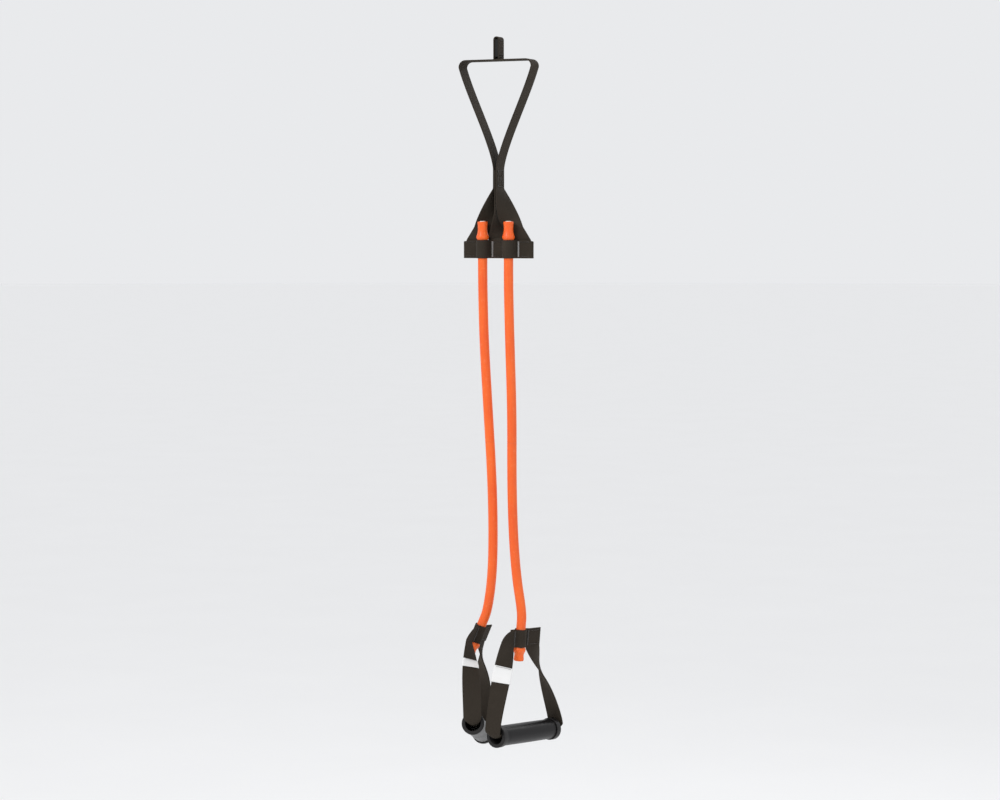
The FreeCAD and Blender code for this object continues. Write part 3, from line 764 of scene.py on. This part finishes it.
def rotated(v, axis, angle):
    """v turned about an axis: v cos + (axis x v) sin + axis (axis . v)(1 - cos)."""
    return v * np.cos(angle) + np.cross(axis, v) * np.sin(angle) + axis * (axis @ v) * (1 - np.cos(angle))


def handle_frames(side):
    """(origin, axes as rows) of the yoke and of the grip."""
    swivel, spin = joints[side + "_handle_swivel"], joints[side + "_grip_spin"]
    up, g = unit(np.array(swivel["axis"])), unit(np.array(spin["axis"]))
    flat = unit(np.array([g[0], g[1], 0.0]))
    turn = math.radians(TWIST[side])
    lean = math.acos(min(1.0, float(up @ Z)))
    x = rotated(rotated(flat, Z, turn), flat, -lean)
    yoke = (np.array(swivel["pos_m"]), np.stack([x, np.cross(up, x), up]))
    y = unit(np.cross(Z, g))
    grip = (np.array(spin["pos_m"]), np.stack([g, y, np.cross(g, y)]))
    return yoke, grip


frames = {side: handle_frames(side) for side in SIDES}
print({side: np.round(f[1][0], 3).tolist() for side, f in frames.items()})

# %% Sew up each handle's strap
def handle_half(side, near):
    """One half: the layer on the yoke, its shoulder, its strand, and the bend into the grip."""
    yoke, grip = frames[side]
    half_turn = (1, 1, 1) if near else (-1, -1, 1)
    turn_at = TUNNEL_R + TUNNEL_FOOT
    tail = FRONT_TAIL if near else BACK_TAIL
    profile = np.vstack([[-tail, LAYER / 2], over_tube(0.0, LAYER / 2, 0.0), [turn_at, LAYER / 2]])
    layer = stretch(np.column_stack([profile, np.zeros(len(profile))]), Z, Y)
    a = np.radians(np.linspace(90, SHOULDER_END, 14))[:, None]
    out = np.cos(a) * X + np.sin(a) * Z
    pivot = np.array([turn_at, LAYER / 2, -WEB_W / 2 - FOLD_RADIUS])
    shoulder = stretch(pivot + out * (FOLD_RADIUS + WEB_W / 2), out, Y)
    other = 1 if near else -1
    top = placed(reflected(joined(layer, shoulder), half_turn, other, other), *yoke)
    a = np.linspace(0, np.pi / 2, 14)[:, None]
    end = GRIP_LENGTH / 2 + COLLAR_LIP + MOUTH_CLEAR
    out = np.cos(a) * X - np.sin(a) * Z
    narrowing = WEB_W + (CUPPED - WEB_W) * (a[:, 0] / (np.pi / 2))**0.7
    bend = stretch(np.array([end, 0, MOUTH_BEND]) + MOUTH_BEND * out, -Y, out, narrowing)
    inside = stretch([[end - CUPPED_FROM, 0, 0], [0, 0, 0]], -Y, -Z, CUPPED)
    bottom = placed(reflected(joined(bend, inside), half_turn), *grip)
    down = unit(bottom["at"][0] - top["at"][-1])
    strand = bridge(top, bottom, down * STRAND_LEAVES, -Z * STRAND_ARRIVES, STRAND_EARLY)
    return top, strand, bottom


def handle_strap(side):
    """Makes the whole strap and gives back its near strand, for the label."""
    near, far = handle_half(side, True), handle_half(side, False)
    other = backwards(joined(*far))
    other["across"] = -other["across"]
    piece = strap(f"{side}_handle_webbing", joined(*near, other))
    fitted(piece, side + "_handle", "webbing", side + "_handle_strap")
    return near[1]


strands = {side: handle_strap(side) for side in SIDES}
print("strand length:", {side: round(float(lengths(s["at"])[-1]), 3) for side, s in strands.items()})

# %% Tack each yoke beside its tube
ROW_UP, ROW_NEAR, ROW_FAR = 0.0095, 0.0165, 0.0315
yoke_face = LAYER / 2 + WEB_T / 2
for side in SIDES:
    origin, axes = frames[side][0]
    parts = []
    for face in (-1, 1):
        out = axes[1] * face
        for beside in (-1, 1):
            at = origin + axes[0] * beside * TACK_BESIDE + out * yoke_face
            parts.append(tack(at, axes[0], axes[2], out))
    for z in (-ROW_UP, ROW_UP):
        at = origin + axes[1] * yoke_face + axes[2] * z
        parts.append(row(at - axes[0] * ROW_FAR, at - axes[0] * ROW_NEAR, axes[1], 5))
    seam(f"{side}_thread_yoke", parts, "thread_black", side + "_handle", side + "_yoke_stitching")
print("stitches in a yoke:", sum(len(p[0]) for p in parts))

# %% [markdown]
# ### Labels
# A blank white tape is wrapped round the near strand of each handle and sewn along its upper edge.
# Its lower edge is free, so it bows away from the webbing.

# %% Wrap the labels
LABEL_SPAN = {"left": (0.25, 0.335), "right": (0.25, 0.41)}
LABEL_BOW = {"left": 0.0018, "right": 0.0032}
LABEL_EASE, LABEL_THICK, LABEL_ROWS, LABEL_COLS = 0.0004, 0.00035, 16, 72
LABEL_ROW_HALF, LABEL_ROW_OUT, LABEL_ROUND = 0.0105, 0.0009, 0.009

def make_label(side):
    """A thin shell round the strand: half sizes w/2 + g and t/2 + g + bow s^2, s from 0 to 1 down it."""
    strand = strands[side]
    t = np.linspace(0, 1, len(strand["at"]))
    rows = np.linspace(*LABEL_SPAN[side], LABEL_ROWS)
    at, across, face = (np.stack([np.interp(rows, t, c) for c in strand[k].T], axis=1)
                        for k in ("at", "across", "face"))
    a = np.arange(LABEL_COLS) * 2 * np.pi / LABEL_COLS
    half_wide, half_deep = WEB_W / 2 + LABEL_EASE, WEB_T / 2 + LABEL_EASE
    wide = np.sign(np.cos(a)) * np.abs(np.cos(a))**0.25 * half_wide
    s = np.linspace(0, 1, LABEL_ROWS)[:, None]
    deep = np.sign(np.sin(a)) * np.abs(np.sin(a))**0.5
    hollow = np.clip(np.sin(a), 0, 1) * np.sqrt(np.clip(1 - (wide / half_wide)**2, 0, 1))
    out = deep[None] * half_deep + LABEL_BOW[side] * s**2 * hollow[None]
    points = at[:, None] + wide[None, :, None] * across[:, None] - out[..., None] * face[:, None]
    piece = grid_mesh(f"{side}_label_tape", points, a * LABEL_ROUND, lengths(at))
    bm = bmesh.new()
    bm.from_mesh(piece.data)
    bmesh.ops.delete(bm, geom=[f for f in bm.faces if len(f.verts) > 4], context="FACES_ONLY")
    bm.to_mesh(piece.data)
    bm.free()
    shell = piece.modifiers.new("thickness", "SOLIDIFY")
    shell.thickness = LABEL_THICK
    shell.offset = 1.0
    fitted(piece, side + "_handle", "label", side + "_label")
    half_row = across[1] * LABEL_ROW_HALF
    rows_of_thread = []
    for out in (-face[1], face[1]):
        middle = at[1] + out * (WEB_T / 2 + LABEL_ROW_OUT)
        rows_of_thread.append(row(middle - half_row, middle + half_row, out, 10))
    seam(f"{side}_thread_label", rows_of_thread, "thread", side + "_handle", side + "_label_stitching")
    print(side, "label length:", round(float(lengths(at)[-1]), 4))


for side in SIDES:
    make_label(side)

# %% [markdown]
# ### Grips
# A grip is a hard plastic barrel with a rounded collar pressed on each end. All three are turned
# pieces, made as closed rings about the grip's axis, so the webbing can be seen going into the bore.

# %% Turn the grips
GRIP_R, BORE_R, COLLAR_R, COLLAR_LENGTH = 0.014, 0.0105, 0.0155, 0.009
EASE, SEAT, HIDDEN, CROWN = 0.0002, 0.00005, 0.0095, 0.00018
GROOVES, GROOVE_DEPTH, GROOVE_HALF = (0.0515, 0.0535), 0.00035, 0.0006
half = GRIP_LENGTH / 2
mouth, back = half + COLLAR_LIP, half + COLLAR_LIP - COLLAR_LENGTH

for side in SIDES:
    origin, axes = frames[side][1]
    x = np.linspace(-half + HIDDEN, half - HIDDEN, 60)
    swell = GRIP_R - CROWN + CROWN * np.cos(x / (half - HIDDEN) * np.pi / 2)
    groove = GROOVE_DEPTH * sum(np.exp(-((np.abs(x) - g) / GROOVE_HALF)**2) for g in GROOVES)
    outer = np.column_stack([x, swell - groove])[::-1]
    wall, edge = BORE_R + EASE, GRIP_R - 2 * EASE
    ends = np.array([[-half, edge], [-half, wall], [half, wall], [half, edge]])
    barrel = turned(f"{side}_grip_barrel", np.vstack([outer, ends]), origin, axes[0], 96)
    fitted(barrel, side + "_grip_roller", "grip", side + "_grip")
    for end, sign in (("near", 1), ("far", -1)):
        corners = [[mouth, BORE_R], [mouth, COLLAR_R], [back, COLLAR_R - EASE], [back, GRIP_R + SEAT],
                   [half + 2 * SEAT, GRIP_R + SEAT], [half + 2 * SEAT, BORE_R]]
        shape = rounded(corners, [0.0008, 0.0013, 0.0005, 0.0001, 0.0001, 0.0004], 7) * [sign, 1]
        collar = turned(f"{side}_{end}_grip_collar", shape, origin, axes[0], 96)
        fitted(collar, side + "_grip_roller", "collar", f"{side}_{end}_collar")
print("grip centres:", {s: np.round(f[1][0], 3).tolist() for s, f in frames.items()})

# %% [markdown]
# ## Finishes
# Shader maths is easier to read as sums than as wires, so one small class wraps a node's output and
# turns Python's operators into Math nodes. Everything else comes from one method that adds a node.

# %% Wrap a socket so that sums make nodes
def both_ways(operation):
    """The plain and the reflected method for one of Python's operators."""
    return (lambda a, b: a.maths(operation, a, b)), (lambda a, b: a.maths(operation, b, a))


class Sock:
    """A node's output. Sums, products and powers of it with numbers or other outputs add Math nodes."""

    def __init__(self, finish, out):
        self.finish, self.out = finish, out

    def maths(self, operation, a, b=None, clamp=False):
        values = {0: a} if b is None else {0: a, 1: b}
        return self.finish.add("ShaderNodeMath", {"operation": operation, "use_clamp": clamp}, values)

    __add__, __radd__ = both_ways("ADD")
    __sub__, __rsub__ = both_ways("SUBTRACT")
    __mul__, __rmul__ = both_ways("MULTIPLY")
    __truediv__, __rtruediv__ = both_ways("DIVIDE")
    __pow__, __rpow__ = both_ways("POWER")

    def __abs__(self): return self.maths("ABSOLUTE", self)
    def sin(self): return self.maths("SINE", self)
    def above(self, edge, soft): return self.maths("ADD", (self - edge) / soft, 0.5, clamp=True)


class Finish:
    """A material with one Principled shader; add() makes any node and links or sets its sockets."""

    def __init__(self, name, **constants):
        self.material = bpy.data.materials.new(name)
        self.material.use_nodes = True
        self.nodes, self.links = self.material.node_tree.nodes, self.material.node_tree.links
        self.shader = self.nodes["Principled BSDF"]
        for socket, value in constants.items():
            self.set(self.shader, socket.replace("_", " "), value)

    def set(self, node, socket, value):
        if isinstance(value, Sock):
            self.links.new(value.out, node.inputs[socket])
        else:
            node.inputs[socket].default_value = value

    def add(self, kind, settings=None, sockets=None, out=0):
        node = self.nodes.new(kind)
        for key, value in (settings or {}).items():
            setattr(node, key, value)
        for socket, value in (sockets or {}).items():
            self.set(node, socket, value)
        return Sock(self, node.outputs[out])

    def feed(self, socket, value):
        """A value or an output into the shader's own socket."""
        self.set(self.shader, socket, value)

    def place(self, kind="Object"):
        return self.add("ShaderNodeTexCoord", out=kind)

    def noise(self, where, scale, detail=3.0, rough=0.55):
        sockets = {"Vector": where, "Scale": scale, "Detail": detail, "Roughness": rough}
        return self.add("ShaderNodeTexNoise", sockets=sockets)

    def stretched(self, where, scale):
        return self.add("ShaderNodeMapping", sockets={"Vector": where, "Scale": scale})

    def blend_colour(self, factor, dark, light):
        return self.add("ShaderNodeMix", {"data_type": "RGBA"}, {0: factor, 6: dark, 7: light}, out=2)

    def bump(self, height, strength, distance):
        sockets = {"Height": height, "Strength": strength, "Distance": distance}
        return self.add("ShaderNodeBump", sockets=sockets)

    def flat_map(self):
        """u and v of the UV map: millimetres across and along the piece."""
        split = self.add("ShaderNodeSeparateXYZ", {}, {"Vector": self.place("UV")})
        return split, Sock(self, split.out.node.outputs[1])


finishes = {}

# %% [markdown]
# ### Webbing
# The strap is black-brown polyester. Each lengthwise rib is a row of slanting threads, and
# neighbouring ribs slant opposite ways. The slant comes from adding a zigzag of u to v before taking
# a sine. The thread crowns are smoother than the gaps and painted a little lighter, a painted
# highlight, while the gaps between ribs are painted darker, a painted shade.

# %% Weave the webbing
webbing = Finish("webbing_weave", Specular_IOR_Level=0.16, Sheen_Weight=0.06, Sheen_Roughness=0.45,
                 Sheen_Tint=(0.55, 0.47, 0.38, 1.0))
u, v = webbing.flat_map()
zigzag = webbing.add("ShaderNodeMath", {"operation": "PINGPONG"}, {0: u, 1: 1.05})
threads = ((v + zigzag * 0.9) * (2 * math.pi / 0.95)).sin() * 0.5 + 0.5
gaps = abs((u * (math.pi / 1.05)).sin()) ** 0.5
cloth = threads * 0.6 * gaps + gaps * 0.4
where = webbing.place()
fuzz = webbing.noise(where, 900.0, 2.0)
wear = webbing.noise(where, 22.0, 3.0)
# The weave's crowns are painted lighter as painted highlight, and the gaps between ribs darker as painted
# shade.
tone = webbing.blend_colour(cloth * 0.65 + fuzz * 0.35, (0.011, 0.0085, 0.0062, 1), (0.047, 0.037, 0.027, 1))
tone = webbing.blend_colour(wear.above(0.62, 0.3) * 0.35, tone, (0.062, 0.050, 0.038, 1))
webbing.feed("Base Color", tone)
webbing.feed("Roughness", 0.86 - cloth * 0.16 + wear * 0.06)
webbing.feed("Normal", webbing.bump(cloth + fuzz * 0.25, 0.55, 0.00022))
finishes["webbing"] = webbing

# %% [markdown]
# ### Latex
# The tube lets a little light in, which warms its shaded side, so it gets some subsurface
# scattering. Faint lines run along it from the dipping, and a dusting of talc makes pale patches.

# %% Pour the latex
latex = Finish("latex_orange", Subsurface_Weight=0.12, Subsurface_Radius=(1.0, 0.25, 0.06),
               Subsurface_Scale=0.004, Specular_IOR_Level=0.40, Coat_Roughness=0.22)
where = latex.place()
lines = latex.noise(latex.stretched(latex.place("UV"), (1.6, 0.03, 1.0)), 1.0, 2.0)
cloud = latex.noise(where, 16.0, 4.0)
talc = latex.noise(where, 240.0, 4.0, 0.65)
tone = latex.blend_colour(cloud.above(0.5, 0.5), (0.78, 0.082, 0.004, 1), (0.88, 0.135, 0.007, 1))
tone = latex.blend_colour(lines.above(0.55, 0.4) * 0.30, tone, (0.93, 0.20, 0.028, 1))
tone = latex.blend_colour(talc.above(0.66, 0.2) * 0.22, tone, (0.92, 0.42, 0.20, 1))
latex.feed("Base Color", tone)
latex.feed("Roughness", 0.36 + cloud * 0.10 + talc * 0.10)
latex.feed("Coat Weight", 0.22 - talc * 0.12)
latex.feed("Normal", latex.bump(lines + talc * 0.12, 0.10, 0.0005))
finishes["latex"] = latex

# %% [markdown]
# ### Thread
# Sewing thread is twisted and shiny, so it catches the light in short streaks. Two colours are used:
# pale grey for the tacks in front of the bar and for the labels, and black elsewhere.

# %% Spin the threads
def thread(name, dark, light, rough):
    """Polyester thread: fine streaks of a lighter tone, with a bump from the same streaks."""
    made = Finish(name, Specular_IOR_Level=0.5, Sheen_Weight=0.3, Sheen_Roughness=0.4)
    streaks = made.noise(made.place(), 2600.0, 2.0, 0.6)
    patch = made.noise(made.place(), 180.0, 2.0)
    tone = made.blend_colour(streaks.above(0.5, 0.5), dark, light)
    made.feed("Base Color", made.blend_colour(patch.above(0.6, 0.3) * 0.35, tone, dark))
    made.feed("Roughness", rough + streaks * 0.12)
    made.feed("Normal", made.bump(streaks, 0.4, 0.0001))
    return made


finishes["thread"] = thread("thread_pale_grey", (0.23, 0.225, 0.22, 1), (0.44, 0.43, 0.42, 1), 0.50)
finishes["thread_black"] = thread("thread_black", (0.012, 0.010, 0.009, 1), (0.060, 0.052, 0.045, 1), 0.46)

# %% [markdown]
# ### Label tape
# The labels are smooth white taffeta with a fine weave each way. Patches of painted shade, laid by
# noise over the tape rather than along its folded edges, grey it slightly.

# %% Weave the label tape
label = Finish("label_tape", Specular_IOR_Level=0.45, Sheen_Weight=0.15)
u, v = label.flat_map()
fine = (u * (2 * math.pi / 0.5)).sin() * (v * (2 * math.pi / 0.5)).sin() * 0.5 + 0.5
painted_shade = label.noise(label.place(), 60.0, 4.0)
tone = label.blend_colour(fine, (0.74, 0.74, 0.735, 1), (0.86, 0.86, 0.855, 1))
# Noise patches of painted shade grey the tape here.
label.feed("Base Color", label.blend_colour(painted_shade.above(0.64, 0.3) * 0.30, tone, (0.62, 0.60, 0.57, 1)))
label.feed("Roughness", 0.62 - fine * 0.10 + painted_shade * 0.08)
label.feed("Normal", label.bump(fine, 0.25, 0.00008))
finishes["label"] = label

# %% [markdown]
# ### Moulded plastics
# The grips and their collars are glossy black, with smudges that only show in the gloss. The plugs
# are ivory, and the tab's core is plain dark plastic.

# %% Mould the plastics
def moulded(name, tone, worn, rough, smear, **constants):
    """Moulded plastic: a fine grain, smudges in the roughness, and a little of a worn tone."""
    made = Finish(name, **constants)
    where = made.place()
    fine, smudge = made.noise(where, 1400.0, 2.0), made.noise(where, 34.0, 4.0, 0.6)
    scratch = made.noise(made.stretched(where, (60.0, 60.0, 900.0)), 1.0, 2.0)
    mark = scratch.above(0.70, 0.12) * 0.5 + smudge.above(0.66, 0.3) * 0.5
    made.feed("Base Color", made.blend_colour(mark * 0.6, tone, worn))
    made.feed("Roughness", rough + smudge.above(0.5, 0.6) * smear + fine * 0.04)
    made.feed("Normal", made.bump(fine + scratch * 0.4, 0.05, 0.0001))
    return made


finishes["grip"] = moulded("grip_gloss_black", (0.0085, 0.0078, 0.0085, 1), (0.022, 0.020, 0.020, 1),
                           0.28, 0.14, Specular_IOR_Level=0.19)
finishes["collar"] = moulded("collar_black", (0.012, 0.011, 0.011, 1), (0.030, 0.028, 0.027, 1),
                             0.36, 0.12, Specular_IOR_Level=0.28)
finishes["plug"] = moulded("plug_ivory", (0.78, 0.75, 0.68, 1), (0.60, 0.56, 0.48, 1), 0.30, 0.10,
                           Specular_IOR_Level=0.5, Subsurface_Weight=0.1, Subsurface_Scale=0.002)
finishes["tab_core"] = moulded("tab_core_dark", (0.014, 0.0135, 0.013, 1), (0.04, 0.038, 0.036, 1),
                               0.55, 0.10, Specular_IOR_Level=0.15)

# %% Paint every piece and every CAD node that still shows
def paint(thing, name):
    """The whole piece takes one finish."""
    thing.data.materials.clear()
    thing.data.materials.append(finishes[name].material)


slots = {row["node"]: row["material_slot"] for row in frame["record"]["subparts"]}
for thing in bpy.data.objects:
    if thing.type == "MESH" and thing.get("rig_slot"):
        paint(thing, thing["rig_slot"])
for node, thing in frame["nodes"].items():
    paint(thing, slots[node])

# %% [markdown]
# ## Studio
# A pale floor lies well below the band. The light is one large soft box high at the camera's left,
# a weaker one at the right, and one behind that rims the black parts.

# %% Lay the floor and hang the lights
FLOOR_Z, FLOOR_R, FLOOR_SIDES = -1.62, 60.0, 96
turn = np.arange(FLOOR_SIDES) * 2 * np.pi / FLOOR_SIDES
disc = np.stack([FLOOR_R * np.cos(turn), FLOOR_R * np.sin(turn), FLOOR_Z + 0 * turn], axis=1)
floor = meshed("studio_floor", disc, [list(range(FLOOR_SIDES))], False)
ground = Finish("floor_pale", Roughness=0.8, Specular_IOR_Level=0.1, Emission_Color=(1, 1, 1, 1),
                Emission_Strength=0.05)
mottle = ground.noise(ground.place(), 3.0)
ground.feed("Base Color", ground.blend_colour(mottle, (0.90, 0.90, 0.90, 1), (0.93, 0.93, 0.93, 1)))
floor.data.materials.append(ground.material)

world = bpy.data.worlds.new("studio")
world.use_nodes = True
sky = world.node_tree.nodes["Background"].inputs
sky["Color"].default_value = (0.97, 0.98, 1.0, 1.0)
sky["Strength"].default_value = 0.84
bpy.context.scene.world = world


def soft_box(name, at, size, power, tint=(1.0, 1.0, 1.0)):
    """An area light of a given size, turned to face the middle of the band."""
    data = bpy.data.lights.new(name, "AREA")
    data.shape, data.size, data.energy, data.color = "SQUARE", size, power, tint
    aimed(shown(name, data), at)


soft_box("key", at=(-0.9, -2.2, 1.3), size=1.1, power=34.0, tint=(1.0, 0.985, 0.96))
soft_box("fill", at=(2.6, -1.4, 0.2), size=1.6, power=6.0, tint=(0.95, 0.97, 1.0))
soft_box("rim", at=(0.6, 2.4, 0.9), size=1.2, power=12.0)
print("floor at", FLOOR_Z)
